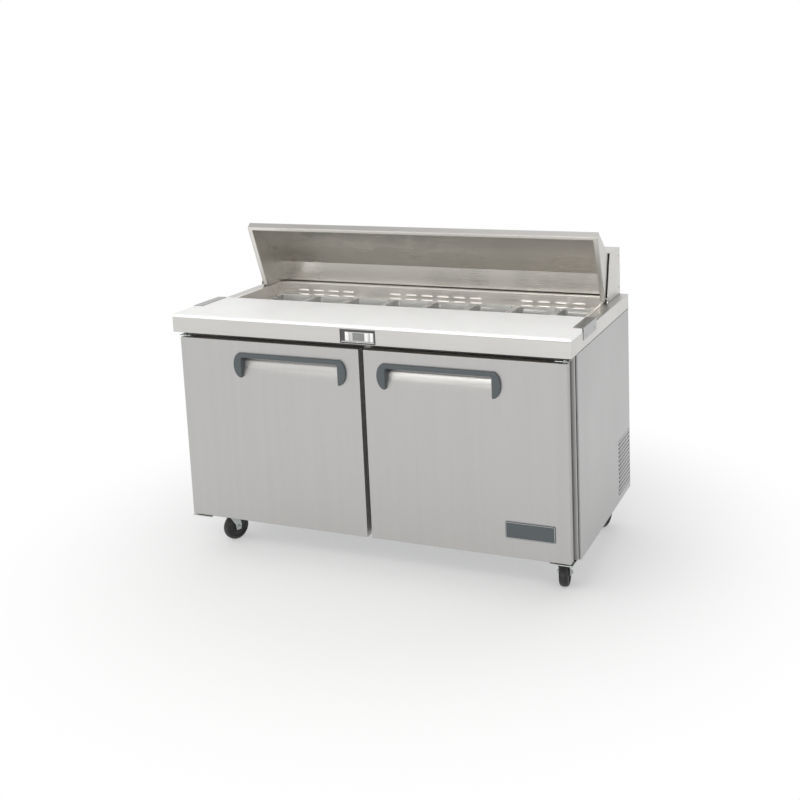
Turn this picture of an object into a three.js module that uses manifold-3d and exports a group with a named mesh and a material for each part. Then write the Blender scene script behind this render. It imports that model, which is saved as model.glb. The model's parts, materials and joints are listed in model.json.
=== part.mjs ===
// Two-door refrigerated sandwich prep table on casters, with a pan rail, a cutting board and a
// hinged lid that folds back into a rear housing.
// Millimetres. X runs to the right, Y to the back, Z up, and the wheels stand on z = 0.
// Every piece is drawn with y measured from the front edge of the worktop; the last group
// moves the whole table so that its footprint is centred on the origin.

import * as THREE from 'three';
import { mergeVertices } from 'three/addons/utils/BufferGeometryUtils.js';
import Module from 'manifold-3d';

const wasm = await Module();
wasm.setup();

// ---------------------------------------------------------------- driving dimensions

const WIDTH = 1529;
const DEPTH = 760;
const TOP = 920; // worktop surface above the floor
const FASCIA = 55; // height of the worktop frame
const SHEET = 2; // sheet metal, with its hem
const GAP = 0.3; // between pieces that touch
const WALL = 45; // insulated cabinet wall

const HALF = WIDTH / 2;
const FRAME_BOTTOM = TOP - FASCIA;
const CABINET = { front: 71, rear: 757, bottom: 150, top: FRAME_BOTTOM - GAP };
const INNER = HALF - WALL - GAP; // outside of the inner liner

const WELL = { half: 709, front: 316, rear: 667, flange: 11, ledge: TOP - 50 };
const PAN = { columns: 8, sizeX: 174.5, sizeY: 162, depth: 100, rim: 9, wall: 2.5, thick: 3 };
const ROW_CENTRE = { front: 400, rear: 583 };
const PAN_END_GAP = 4; // at each end of a row
const COLUMN_PITCH = (2 * (WELL.half - PAN_END_GAP)) / PAN.columns;

const BOARD = { depth: 306, thick: 12 };
const CLIP = { front: 140, rear: 300, overlap: 36, drop: 28, thick: 1.5 };

const HOUSING = { half: 733, height: 180, lip: 625, cheek: 3 };
const PIVOT = { y: 577, z: TOP + 17, r: 5 };
const LID = { half: 726, inner: 708, thick: 12, open: 70 };
// Side outline of the closed lid, (y, height above the worktop): lip, lip top, fold, rear edge.
const LID_OUTLINE = [[311, 5], [301, 27], [560, 180], [640, 151]];

const DOOR = { outer: 745.3, inner: 8.9, front: 13.3, back: 44, top: 843.6, bottom: 154.1 };
const DOOR_OPENING = { inner: 45, outer: 712, bottom: 190, top: 812 };
const FRONT_FRAME = { half: 757, front: 58, bottom: 152 };
const GASKET = { inset: 12, width: 13 };
const HINGE = { x: 733, y: 30, pin: 5, hole: 6 };
const HANDLE = { left: -487, right: -90, end: 30, top: 801.5, bar: 17.5, bottom: 708, proud: 9 };
const POCKET_DEPTH = 27;

const BAY = { front: 562, top: 402, back: 747 }; // machine compartment under the rear step
const SHELF = { z: 470, front: 95, rear: 689, wire: 5 };

const CASTER = { x: 680, front: 135, rear: 722, trail: 35, r: 51, wheelWidth: 32 };

// ---------------------------------------------------------------- geometry helpers

const AXIS = {
  x: new THREE.Vector3(1, 0, 0),
  y: new THREE.Vector3(0, 1, 0),
  z: new THREE.Vector3(0, 0, 1),
};

// A merged, indexed copy whose faces point out.
function closed(geometry) {
  const bare = geometry.index ? geometry.clone() : geometry;
  bare.deleteAttribute('normal');
  bare.deleteAttribute('uv');
  const merged = mergeVertices(bare, 1e-4);
  const p = merged.attributes.position;
  const index = merged.index.array;
  const a = new THREE.Vector3();
  const b = new THREE.Vector3();
  const c = new THREE.Vector3();
  let volume = 0;
  for (let i = 0; i < index.length; i += 3) {
    a.fromBufferAttribute(p, index[i]);
    b.fromBufferAttribute(p, index[i + 1]);
    c.fromBufferAttribute(p, index[i + 2]);
    volume += a.dot(b.cross(c));
  }
  if (volume < 0) {
    for (let i = 0; i < index.length; i += 3) {
      [index[i + 1], index[i + 2]] = [index[i + 2], index[i + 1]];
    }
  }
  return merged;
}

function solid(geometry) {
  const merged = closed(geometry);
  const vertProperties = new Float32Array(merged.attributes.position.array);
  const triVerts = new Uint32Array(merged.index.array);
  return new wasm.Manifold(new wasm.Mesh({ numProp: 3, vertProperties, triVerts }));
}

function geometryOf(body) {
  const result = body.getMesh();
  const geometry = new THREE.BufferGeometry();
  geometry.setAttribute('position', new THREE.BufferAttribute(result.vertProperties, 3));
  geometry.setIndex(new THREE.BufferAttribute(result.triVerts, 1));
  return geometry;
}

function box(x, y, z) {
  const geometry = new THREE.BoxGeometry(x[1] - x[0], y[1] - y[0], z[1] - z[0]);
  geometry.translate((x[0] + x[1]) / 2, (y[0] + y[1]) / 2, (z[0] + z[1]) / 2);
  return solid(geometry);
}

function outline(points) {
  return new THREE.Shape(points.map(([u, v]) => new THREE.Vector2(u, v)));
}

// An outline of (y, z) points pushed along X.
function alongX(points, x) {
  const options = { depth: x[1] - x[0], bevelEnabled: false };
  const geometry = new THREE.ExtrudeGeometry(outline(points), options);
  geometry.applyMatrix4(new THREE.Matrix4().makeBasis(AXIS.y, AXIS.z, AXIS.x));
  geometry.translate(x[0], 0, 0);
  return solid(geometry);
}

// An outline of (x, z) points pushed along Y.
function alongY(points, y) {
  const options = { depth: y[1] - y[0], bevelEnabled: false };
  const geometry = new THREE.ExtrudeGeometry(outline(points), options);
  const back = new THREE.Vector3(0, -1, 0);
  geometry.applyMatrix4(new THREE.Matrix4().makeBasis(AXIS.x, AXIS.z, back));
  geometry.translate(0, y[1], 0);
  return solid(geometry);
}

function rod(axis, r, centre, span, segments = 16) {
  const geometry = new THREE.CylinderGeometry(r, r, span[1] - span[0], segments);
  if (axis === 'x') {
    geometry.rotateZ(-Math.PI / 2);
  } else if (axis === 'z') {
    geometry.rotateX(Math.PI / 2);
  }
  const middle = (span[0] + span[1]) / 2;
  const place = {
    x: [middle, centre[0], centre[1]],
    y: [centre[0], middle, centre[1]],
    z: [centre[0], centre[1], middle],
  };
  geometry.translate(...place[axis]);
  return solid(geometry);
}

// A body of revolution about the given axis through the origin; profile is (radius, along).
function turned(profile, axis, segments) {
  const points = profile.map(([r, along]) => new THREE.Vector2(r, along));
  const geometry = new THREE.LatheGeometry(points, segments);
  if (axis === 'x') {
    geometry.rotateZ(-Math.PI / 2);
  } else if (axis === 'z') {
    geometry.rotateX(Math.PI / 2);
  }
  return solid(geometry);
}

function moved(body, x, y, z) {
  return body.translate([x, y, z]);
}

function joined(bodies) {
  return bodies.reduce((whole, body) => whole.add(body));
}

function cut(body, tools) {
  return tools.reduce((rest, tool) => rest.subtract(tool), body);
}

function mirrored(side, range) {
  return side > 0 ? range : [-range[1], -range[0]];
}

// ---------------------------------------------------------------- finishes

function finish(color, roughness, metalness, extra = {}) {
  return { color, roughness, metalness, ...extra };
}

const STEEL = finish(0xc6c4c0, 0.35, 0.9);
const SIDE_STEEL = finish(0xb9bab9, 0.42, 0.85);
const LINER = finish(0xd2d2ce, 0.3, 0.85);
const ZINC = finish(0xb4bcb8, 0.4, 0.8);
const BOARD_WHITE = finish(0xf0f0ee, 0.55, 0);
const DARK_PLASTIC = finish(0x4b5255, 0.5, 0);
const BLACK_RUBBER = finish(0x151515, 0.7, 0);
const CLEAR = finish(0xdfe6e6, 0.15, 0, { transparent: true, opacity: 0.35 });
const BLACK_PAINT = finish(0x1c1d1e, 0.5, 0.2);
const COPPER = finish(0xb07a55, 0.4, 0.8);
const KEY_WHITE = finish(0xe6e7e6, 0.4, 0);

const table = new THREE.Group();

function piece(name, body, look, parent = table) {
  const mesh = new THREE.Mesh(geometryOf(body), new THREE.MeshStandardMaterial(look));
  mesh.name = name;
  parent.add(mesh);
  return mesh;
}

// ---------------------------------------------------------------- worktop and pan rail

const WELL_CUT = {
  x: [-WELL.half - SHEET - GAP, WELL.half + SHEET + GAP],
  y: [WELL.front - SHEET - GAP, WELL.rear + SHEET + GAP],
};
const DISPLAY = { left: -70, right: 66, bottom: TOP - 53, top: TOP - 3, proud: 1.5, deep: 22 };

function grown(range, by) {
  return [range[0] - by, range[1] + by];
}

function worktopFrame() {
  const height = [FRAME_BOTTOM, TOP];
  const slab = box([-HALF, HALF], [0, DEPTH], height);
  const through = [FRAME_BOTTOM - 1, TOP + 1];
  const opening = box(WELL_CUT.x, WELL_CUT.y, through);
  const inside = box([-HALF + SHEET, HALF - SHEET], [SHEET, DEPTH - SHEET],
    [FRAME_BOTTOM - 1, TOP - SHEET]);
  const skirt = box(grown(WELL_CUT.x, SHEET), grown(WELL_CUT.y, SHEET), through);
  const socket = box([DISPLAY.left + SHEET, DISPLAY.right - SHEET], [-1, SHEET + 1],
    [DISPLAY.bottom + SHEET, DISPLAY.top - SHEET]);
  return cut(slab, [opening, inside.subtract(skirt), socket]);
}

function panWell() {
  const wall = { x: [-WELL.half, WELL.half], y: [WELL.front, WELL.rear] };
  const outer = { x: grown(wall.x, SHEET), y: grown(wall.y, SHEET) };
  const flange = box(grown(outer.x, WELL.flange - SHEET), [307, 680], [TOP + GAP, TOP + SHEET]);
  const skirt = box(outer.x, outer.y, [WELL.ledge - 6, TOP + SHEET]);
  const mouth = box(wall.x, wall.y, [WELL.ledge, TOP + 10]);
  const reach = PAN.sizeY / 2 - PAN.rim + 1;
  const windows = Object.values(ROW_CENTRE).map((centre) =>
    box(grown(wall.x, -PAN.rim), [centre - reach, centre + reach], [WELL.ledge - 9, TOP]));
  const hollow = box(wall.x, wall.y, [WELL.ledge - 9, WELL.ledge - SHEET]);
  return cut(flange.add(skirt), [mouth, hollow, ...windows]);
}

function pan() {
  const ring = (halfX, halfY, corner, z) => [
    [halfX, -halfY + corner, z], [halfX, halfY - corner, z],
    [halfX - corner, halfY, z], [-halfX + corner, halfY, z],
    [-halfX, halfY - corner, z], [-halfX, -halfY + corner, z],
    [-halfX + corner, -halfY, z], [halfX - corner, -halfY, z],
  ];
  const x = PAN.sizeX / 2;
  const y = PAN.sizeY / 2;
  const bodyX = x - PAN.rim;
  const bodyY = y - PAN.rim;
  const taper = 8;
  const under = GAP;
  const top = under + PAN.thick;
  const rings = [
    ring(bodyX - taper, bodyY - taper, 14, top - PAN.depth),
    ring(bodyX, bodyY, 20, under),
    ring(x, y, 16, under),
    ring(x, y, 16, top),
    ring(bodyX - PAN.wall, bodyY - PAN.wall, 18, top),
    ring(bodyX - taper - PAN.wall, bodyY - taper - PAN.wall, 12, top - PAN.depth + PAN.wall),
  ];
  return solid(loft(rings));
}

// A closed skin through rings of equal point count, capped at the first and the last.
function loft(rings) {
  const count = rings[0].length;
  const index = [];
  for (let level = 0; level + 1 < rings.length; level += 1) {
    for (let k = 0; k < count; k += 1) {
      const next = (k + 1) % count;
      const low = level * count;
      const high = low + count;
      index.push(low + k, low + next, high + next, low + k, high + next, high + k);
    }
  }
  const last = (rings.length - 1) * count;
  for (let k = 1; k + 1 < count; k += 1) {
    index.push(0, k + 1, k, last, last + k, last + k + 1);
  }
  const geometry = new THREE.BufferGeometry();
  geometry.setAttribute('position', new THREE.Float32BufferAttribute(rings.flat(2), 3));
  geometry.setIndex(index);
  return geometry;
}

piece('worktop_frame', worktopFrame(), STEEL);
piece('pan_well', panWell(), LINER);
for (const [row, centre] of Object.entries(ROW_CENTRE)) {
  for (let column = 0; column < PAN.columns; column += 1) {
    const mesh = piece(`pan_${row}_${column + 1}`, pan(), CLEAR);
    mesh.position.x = (column - (PAN.columns - 1) / 2) * COLUMN_PITCH;
    mesh.position.y = centre;
    mesh.position.z = WELL.ledge;
  }
}

// ---------------------------------------------------------------- cutting board and its clips

function cuttingBoard() {
  const notch = 4;
  const height = [TOP + GAP, TOP + GAP + BOARD.thick];
  const board = box([-HALF, HALF], [0, BOARD.depth], height);
  const tall = grown(height, 1);
  const notches = [-1, 1].map((side) =>
    box(mirrored(side, [HALF - notch, HALF + 1]), [CLIP.front - 8, BOARD.depth + 1], tall));
  return cut(board, notches);
}

function boardClip(side) {
  const under = TOP + BOARD.thick + 2 * GAP;
  const over = [under, under + CLIP.thick];
  const y = [CLIP.front, CLIP.rear];
  const outer = HALF + GAP + CLIP.thick;
  const leaf = box(mirrored(side, [HALF - CLIP.overlap, outer]), y, over);
  const flank = box(mirrored(side, [HALF + GAP, outer]), y, [TOP - CLIP.drop, over[1]]);
  return leaf.add(flank);
}

piece('cutting_board', cuttingBoard(), BOARD_WHITE);
piece('board_clip_left', boardClip(-1), STEEL);
piece('board_clip_right', boardClip(1), STEEL);

// ---------------------------------------------------------------- rear housing and lid

function rearHousing() {
  const base = TOP + GAP;
  const top = TOP + HOUSING.height;
  const roof = box([-HOUSING.half, HOUSING.half], [HOUSING.lip, DEPTH], [top - SHEET, top]);
  const back = box([-HOUSING.half, HOUSING.half], [DEPTH - SHEET, DEPTH], [base, top]);
  const side = [[572, base], [DEPTH, base], [DEPTH, top], [HOUSING.lip, top],
    [HOUSING.lip - 5, top - 6]];
  const cheeks = [-1, 1].map((s) =>
    alongX(side, mirrored(s, [HOUSING.half - HOUSING.cheek, HOUSING.half])));
  const pins = [-1, 1].map((s) =>
    rod('x', PIVOT.r, [PIVOT.y, PIVOT.z], mirrored(s, [LID.inner + 1, HOUSING.half - 1])));
  return joined([roof, back, ...cheeks, ...pins]);
}

// The lid's outline moved in by a distance, left open along its underside and its rear edge.
function lidCavity(inset) {
  const moveIn = (from, to) => {
    const along = new THREE.Vector2(to[0] - from[0], to[1] - from[1]).normalize();
    const shift = new THREE.Vector2(along.y, -along.x).multiplyScalar(inset);
    return { x: from[0] + shift.x, y: from[1] + shift.y, dx: along.x, dy: along.y };
  };
  const [lip, crest, fold, rear] = LID_OUTLINE;
  const lines = [moveIn(lip, crest), moveIn(crest, fold), moveIn(fold, rear)];
  const meet = (a, b) => {
    const t = ((b.x - a.x) * b.dy - (b.y - a.y) * b.dx) / (a.dx * b.dy - a.dy * b.dx);
    return [a.x + a.dx * t, a.y + a.dy * t];
  };
  const reach = 60;
  const start = [lines[0].x - lines[0].dx * reach, lines[0].y - lines[0].dy * reach];
  const end = [lines[2].x + lines[2].dx * 2 * reach, lines[2].y + lines[2].dy * 2 * reach];
  return [start, meet(lines[0], lines[1]), meet(lines[1], lines[2]), end, [end[0], start[1]]];
}

// The lid as one solid block with its pivot bore, closed pose, height above the worktop.
function lidBlock(half) {
  const knuckle = 12;
  const pivotHeight = PIVOT.z - TOP;
  const outer = [...LID_OUTLINE, [PIVOT.y + knuckle, pivotHeight]];
  for (let step = 1; step <= 4; step += 1) {
    const angle = (-step * Math.PI) / 8;
    outer.push([PIVOT.y + knuckle * Math.cos(angle), pivotHeight + knuckle * Math.sin(angle)]);
  }
  const block = alongX(outer, [-half, half]);
  const bore = rod('x', PIVOT.r + 0.7, [PIVOT.y, pivotHeight], [-half - 1, half + 1]);
  return { block, bore };
}

// The lid in its closed pose turned back about the pivot to where it stands open.
function opened(body) {
  const drop = PIVOT.z - TOP;
  return body
    .translate([0, -PIVOT.y, -drop])
    .rotate([-LID.open, 0, 0])
    .translate([0, PIVOT.y, PIVOT.z]);
}

function lidShell() {
  const { block, bore } = lidBlock(LID.half);
  const inner = LID.half - SHEET;
  const cavity = alongX(lidCavity(SHEET), [-inner, inner]);
  return opened(cut(block, [cavity, bore]));
}

function lidLiner() {
  const half = LID.half - SHEET - GAP;
  const { block, bore } = lidBlock(half);
  const core = block.intersect(alongX(lidCavity(SHEET + GAP), [-half, half]));
  const cavity = alongX(lidCavity(LID.thick), [-LID.inner, LID.inner]);

  // Foam space behind the inner sheet, and one in each end wall, open towards the shell.
  const width = [-LID.inner + 4, LID.inner - 4];
  const foam = cut(alongX(lidCavity(0), width), [
    alongX(lidCavity(LID.thick - SHEET), grown(width, 1)),
    box(grown(width, 1), [200, 620], [-80, 34]),
    box(grown(width, 1), [622, 900], [-80, 200]),
  ]);
  const end = [[350, 15], [548, 152], [612, 142], [594, 42], [560, 36], [540, 15]];
  const ends = [-1, 1].map((side) => alongX(end, mirrored(side, [LID.inner + SHEET, LID.half])));
  return opened(cut(core, [cavity, bore, foam, ...ends]));
}

piece('rear_housing', rearHousing(), STEEL);
piece('lid_shell', lidShell(), STEEL);
piece('lid_liner', lidLiner(), LINER);

// ---------------------------------------------------------------- cabinet

// A sheet-metal pan: a box hollowed from one side, its walls one sheet thick.
function tray(x, y, z, openX, openY, openZ) {
  const inner = [x, y, z].map((range, axis) => {
    const open = [openX, openY, openZ][axis];
    const low = open < 0 ? range[0] - 1 : range[0] + SHEET;
    const high = open > 0 ? range[1] + 1 : range[1] - SHEET;
    return [low, high];
  });
  return box(x, y, z).subtract(box(...inner));
}

function sidePanel(side) {
  const x = mirrored(side, [HALF - WALL, HALF]);
  const y = [CABINET.front, CABINET.rear];
  const z = [CABINET.bottom, CABINET.top];
  return tray(x, y, z, -side, 0, 0);
}

const LOUVRES = { count: 13, pitch: 16.4, height: 6, y: [578, 751], bottom: 187 };

function louvreCuts() {
  const cuts = [];
  for (let row = 0; row < LOUVRES.count; row += 1) {
    const z = LOUVRES.bottom + row * LOUVRES.pitch;
    cuts.push(box([HALF - SHEET - 1, HALF + 1], LOUVRES.y, [z, z + LOUVRES.height]));
  }
  return cuts;
}

function backPanel() {
  const x = [-INNER, INNER];
  const upper = tray(x, [702.5, CABINET.rear], [BAY.top + GAP, CABINET.top], 0, -1, 0);
  const grille = box(x, [BAY.back - SHEET, BAY.back], [CABINET.bottom + SHEET + GAP, BAY.top + 1]);
  const slots = [];
  for (let k = -6; k <= 6; k += 1) {
    const middle = k * 70;
    slots.push(box([middle - 5, middle + 5], [BAY.back - 5, BAY.back + 5], [220, 340]));
  }
  return cut(upper.add(grille), slots);
}

function basePanel() {
  const x = [-INNER, INNER];
  const rear = BAY.back - SHEET - GAP;
  const slab = box(x, [CABINET.front, rear], [CABINET.bottom, 200 - GAP]);
  const inner = grown(x, -SHEET);
  const high = [CABINET.bottom + SHEET, 201];
  const foam = box(inner, [CABINET.front + SHEET, BAY.front - SHEET], high);
  const bay = box(grown(x, 1), [BAY.front, rear + 1], high);
  const plates = casterPlaces().map(([px, py]) =>
    box([px - 37, px + 37], [py - 34, py + 34], [146, CABINET.bottom + 1]));
  return joined([cut(slab, [foam, bay]), ...plates]);
}

function innerLiner() {
  const floor = 200;
  const rear = 702.2;
  const front = CABINET.front;
  const top = CABINET.top;
  const outer = [[front, floor], [BAY.front, floor], [BAY.front, BAY.top], [rear, BAY.top],
    [rear, top], [front, top]];
  const inner = [[front - 1, floor + SHEET], [BAY.front - SHEET, floor + SHEET],
    [BAY.front - SHEET, BAY.top + SHEET], [rear - SHEET, BAY.top + SHEET],
    [rear - SHEET, top + 1], [front - 1, top + 1]];
  const shell = alongX(outer, [-INNER, INNER]);
  const space = alongX(inner, [-INNER + SHEET, INNER - SHEET]);
  const ledge = [SHELF.z - 6, SHELF.z - GAP];
  const rail = box([-INNER + 1, INNER - 1], [SHELF.rear - 9, rear - 1], ledge);
  const lugs = [-1, 1].map((side) =>
    box(mirrored(side, [INNER - 22, INNER - 1]), [SHELF.front, SHELF.front + 20], ledge));
  return joined([shell.subtract(space), rail, ...lugs]);
}

function frontFrame() {
  const y = [FRONT_FRAME.front, CABINET.front - GAP];
  const z = [FRONT_FRAME.bottom, CABINET.top];
  const x = [-FRONT_FRAME.half, FRONT_FRAME.half];
  const height = [DOOR_OPENING.bottom, DOOR_OPENING.top];
  const openings = [-1, 1].map((side) => {
    const range = mirrored(side, [DOOR_OPENING.inner, DOOR_OPENING.outer]);
    const rim = box(grown(range, SHEET), grown(y, 2), grown(height, SHEET));
    return { cut: box(range, grown(y, 1), height), rim };
  });
  const face = box(x, y, z);
  const hollow = openings.reduce((rest, { rim }) => rest.subtract(rim),
    box(grown(x, -SHEET), [y[0] + SHEET, y[1] + 1], grown(z, -SHEET)));
  const ledge = [SHELF.z - 6, SHELF.z - GAP];
  const tab = box([-DOOR_OPENING.inner, DOOR_OPENING.inner], [y[0] + 1, SHELF.front + 12], ledge);
  return cut(face, [hollow, ...openings.map((opening) => opening.cut)]).add(tab);
}

piece('side_panel_left', sidePanel(-1), SIDE_STEEL);
piece('side_panel_right', cut(sidePanel(1), louvreCuts()), SIDE_STEEL);
piece('back_panel', backPanel(), SIDE_STEEL);
piece('base_panel', basePanel(), ZINC);
piece('inner_liner', innerLiner(), LINER);
piece('front_frame', frontFrame(), STEEL);

// ---------------------------------------------------------------- controller

function controllerHousing() {
  const { left, right, bottom, top, proud, deep } = DISPLAY;
  const face = box([left, right], [-proud, -GAP], [bottom, top]);
  const x = [left + SHEET + GAP, right - SHEET - GAP];
  const z = [bottom + SHEET + GAP, top - SHEET - GAP];
  const body = box(x, [-GAP - 0.2, deep], z);
  const windowCut = box([left + 4, right - 4], [-proud - 1, 0], [bottom + 4, top - 4]);
  const wells = KEYS.map((range) => box(grown(range, GAP), [-3, 3.5], grown(KEY_HEIGHT, GAP)));
  return cut(face.add(body), [windowCut, ...wells]);
}

const KEYS = [[-50, -35], [46, 59]];
const KEY_HEIGHT = [DISPLAY.bottom + 9, DISPLAY.top - 9];

piece('controller_housing', controllerHousing(), DARK_PLASTIC);
piece('controller_key_left', box(KEYS[0], [-1, 2], KEY_HEIGHT), KEY_WHITE);
piece('controller_key_right', box(KEYS[1], [-1, 2], KEY_HEIGHT), KEY_WHITE);

// ---------------------------------------------------------------- doors

// Each door is drawn for the left side and mirrored for the right.
function leftDoor() {
  const x = [-DOOR.outer, -DOOR.inner];
  const y = [DOOR.front, DOOR.back];
  const z = [DOOR.bottom, DOOR.top];
  const mouthTop = HANDLE.top - HANDLE.bar + 4;
  const pocket = (grow) => alongX([
    [DOOR.front - 1, HANDLE.bottom - grow],
    [DOOR.front + grow, HANDLE.bottom - grow],
    [DOOR.front + POCKET_DEPTH + grow, mouthTop - 20],
    [DOOR.front + POCKET_DEPTH + grow, mouthTop + grow],
    [DOOR.front - 1, mouthTop + grow],
  ], [HANDLE.left - grow, HANDLE.right + grow]);
  const skin = tray(x, y, z, 0, 1, 0).add(
    pocket(1.6).intersect(box(x, y, z)));
  const holes = [
    rod('z', HINGE.hole, [-HINGE.x, HINGE.y], [DOOR.bottom - 1, DOOR.bottom + 26], 12),
    rod('z', HINGE.hole, [-HINGE.x, HINGE.y], [DOOR.top - 26, DOOR.top + 1], 12),
  ];
  const panel = cut(skin, [pocket(0), ...holes]);

  const inset = GASKET.inset + GASKET.width + 1;
  const inner = box(grown(x, -inset), [DOOR.back + GAP, DOOR.back + 8], grown(z, -inset));
  const dish = box(grown(x, -inset - 14), [DOOR.back + 4, DOOR.back + 9], grown(z, -inset - 14));
  const liner = inner.subtract(dish);

  const sealY = [DOOR.back + GAP, FRONT_FRAME.front - GAP];
  const sealOuter = box(grown(x, -GASKET.inset), sealY, grown(z, -GASKET.inset));
  const sealInner = box(grown(x, -GASKET.inset - GASKET.width), grown(sealY, 1),
    grown(z, -GASKET.inset - GASKET.width));
  const gasket = sealOuter.subtract(sealInner);

  return { panel, liner, gasket, handle: leftHandle() };
}

// A straight bar with a half-moon cap at each end, lying on the door's face.
function leftHandle() {
  const y = [DOOR.front - HANDLE.proud, DOOR.front - GAP];
  const low = HANDLE.top - HANDLE.bar;
  const cap = (x, side) => {
    const points = [[x, HANDLE.top], [x, HANDLE.bottom]];
    const middle = (HANDLE.top + HANDLE.bottom) / 2;
    const rise = (HANDLE.top - HANDLE.bottom) / 2;
    for (let step = 1; step < 6; step += 1) {
      const angle = -Math.PI / 2 + (step * Math.PI) / 6;
      points.push([x + side * HANDLE.end * Math.cos(angle), middle + rise * Math.sin(angle)]);
    }
    return alongY(side > 0 ? points : points.reverse(), y);
  };
  const bar = box([HANDLE.left - 1, HANDLE.right + 1], y, [low, HANDLE.top]);
  return joined([bar, cap(HANDLE.left, -1), cap(HANDLE.right, 1)]);
}

function mirror(body) {
  return body.mirror([1, 0, 0]);
}

const doorLooks = { panel: STEEL, liner: LINER, gasket: BLACK_RUBBER, handle: DARK_PLASTIC };
const door = leftDoor();
for (const [kind, look] of Object.entries(doorLooks)) {
  piece(`door_${kind}_left`, door[kind], look);
  piece(`door_${kind}_right`, mirror(door[kind]), look);
}

const BADGE = { x: [517, 694], z: [TOP - 697, TOP - 638], thick: 2.5 };
piece('name_plate_blank',
  box(BADGE.x, [DOOR.front - GAP - BADGE.thick, DOOR.front - GAP], BADGE.z), DARK_PLASTIC);

// ---------------------------------------------------------------- door hinge brackets

function upperBracket(side) {
  const rear = FRONT_FRAME.front - GAP;
  const plate = box(mirrored(side, [702, 750]), [15, rear], [849, 852]);
  const tab = box(mirrored(side, [702, 750]), [rear - 3, rear], [849, CABINET.top - 2]);
  const pin = rod('z', HINGE.pin, [side * HINGE.x, HINGE.y], [DOOR.top - 22, 850], 12);
  return joined([plate, tab, pin]);
}

function lowerBracket(side) {
  const z = [CABINET.bottom - 4, CABINET.bottom - GAP];
  const plate = box(mirrored(side, [722, 750]), [15, 90], z);
  const wing = box(mirrored(side, [668, 750]), [15, 55], z);
  const pin = rod('z', HINGE.pin, [side * HINGE.x, HINGE.y], [z[0] + 1, DOOR.bottom + 22], 12);
  return joined([plate, wing, pin]);
}

for (const [name, side] of [['left', -1], ['right', 1]]) {
  piece(`hinge_bracket_upper_${name}`, upperBracket(side), ZINC);
  piece(`hinge_bracket_lower_${name}`, lowerBracket(side), ZINC);
}

// ---------------------------------------------------------------- shelves

function wireShelf(side) {
  const x = mirrored(side, [DOOR_OPENING.inner - 20, INNER - SHEET - 3]);
  const y = [SHELF.front, SHELF.rear];
  const w = SHELF.wire;
  const z = [SHELF.z, SHELF.z + w];
  const rim = box(x, y, z).subtract(box(grown(x, -w), grown(y, -w), grown(z, 1)));
  const bars = [];
  const count = 9;
  for (let k = 1; k <= count; k += 1) {
    const middle = x[0] + ((x[1] - x[0]) * k) / (count + 1);
    bars.push(box([middle - 2, middle + 2], grown(y, -1), [z[0] + 0.5, z[1] - 0.5]));
  }
  return joined([rim, ...bars]);
}

piece('shelf_left', wireShelf(-1), ZINC);
piece('shelf_right', wireShelf(1), ZINC);

// ---------------------------------------------------------------- refrigeration

const BAY_FLOOR = CABINET.bottom + SHEET + GAP;
const FAN = { x: [578, 598], y: 655, z: 275, r: 78 };

function compressor() {
  const profile = [[0, 0], [58, 0], [66, 14], [66, 88], [54, 118], [28, 132], [0, 136]];
  const shell = moved(turned(profile, 'z', 20), 330, 655, BAY_FLOOR + 12);
  const foot = box([250, 410], [590, 720], [BAY_FLOOR, BAY_FLOOR + 14]);
  const lineEnd = rod('z', 6, [372, 655], [BAY_FLOOR + 100, BAY_FLOOR + 175], 8);
  const terminal = box([300, 345], [582, 620], [BAY_FLOOR + 45, BAY_FLOOR + 95]);
  return joined([shell, foot, lineEnd, terminal]);
}

function condenser() {
  const core = box([620, 655], [572, 738], [BAY_FLOOR, 390]);
  const grooves = [];
  for (let k = 0; k < 8; k += 1) {
    const z = 180 + k * 25;
    grooves.push(box([615, 632], [580, 730], [z, z + 12]));
  }
  const rail = box([540, 640], [643, 667], [BAY_FLOOR, BAY_FLOOR + 6]);
  const post = box([540, 552], [643, 667], [BAY_FLOOR, FAN.z]);
  const motor = rod('x', 28, [FAN.y, FAN.z], [530, 572]);
  const shaft = rod('x', 4, [FAN.y, FAN.z], [570, 590], 8);
  return joined([cut(core, grooves), rail, post, motor, shaft]);
}

function condenserFan() {
  const hub = rod('x', 22, [0, 0], FAN.x, 12);
  const blades = [];
  for (let k = 0; k < 5; k += 1) {
    const blade = box([-1, 1], [-20, 20], [18, FAN.r]).rotate([0, 0, 22]);
    blades.push(moved(blade.rotate([k * 72, 0, 0]), (FAN.x[0] + FAN.x[1]) / 2, 0, 0));
  }
  const bore = rod('x', 4.5, [0, 0], [FAN.x[0] - 1, 591], 8);
  return moved(joined([hub, ...blades]).subtract(bore), 0, FAN.y, FAN.z);
}

function evaporator() {
  const case_ = box([-300, 300], [640, 700.2 - GAP], [560, 755]);
  const slots = [];
  for (let k = 0; k < 7; k += 1) {
    const z = 580 + k * 23;
    slots.push(box([-270, 270], [635, 652], [z, z + 10]));
  }
  return cut(case_, slots);
}

piece('compressor', compressor(), BLACK_PAINT);
piece('condenser_coil', condenser(), COPPER);
piece('condenser_fan', condenserFan(), ZINC);
piece('evaporator_coil', evaporator(), LINER);

// ---------------------------------------------------------------- casters

// Where the swivel axes stand, front pair first.
function casterPlaces() {
  const { x, front, rear } = CASTER;
  return [[-x, front], [x, front], [-x, rear], [x, rear]];
}

const CASTER_NAMES = ['front_left', 'front_right', 'rear_left', 'rear_right'];
const CASTER_TURN = [-22, 8, 180, 165];

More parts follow.
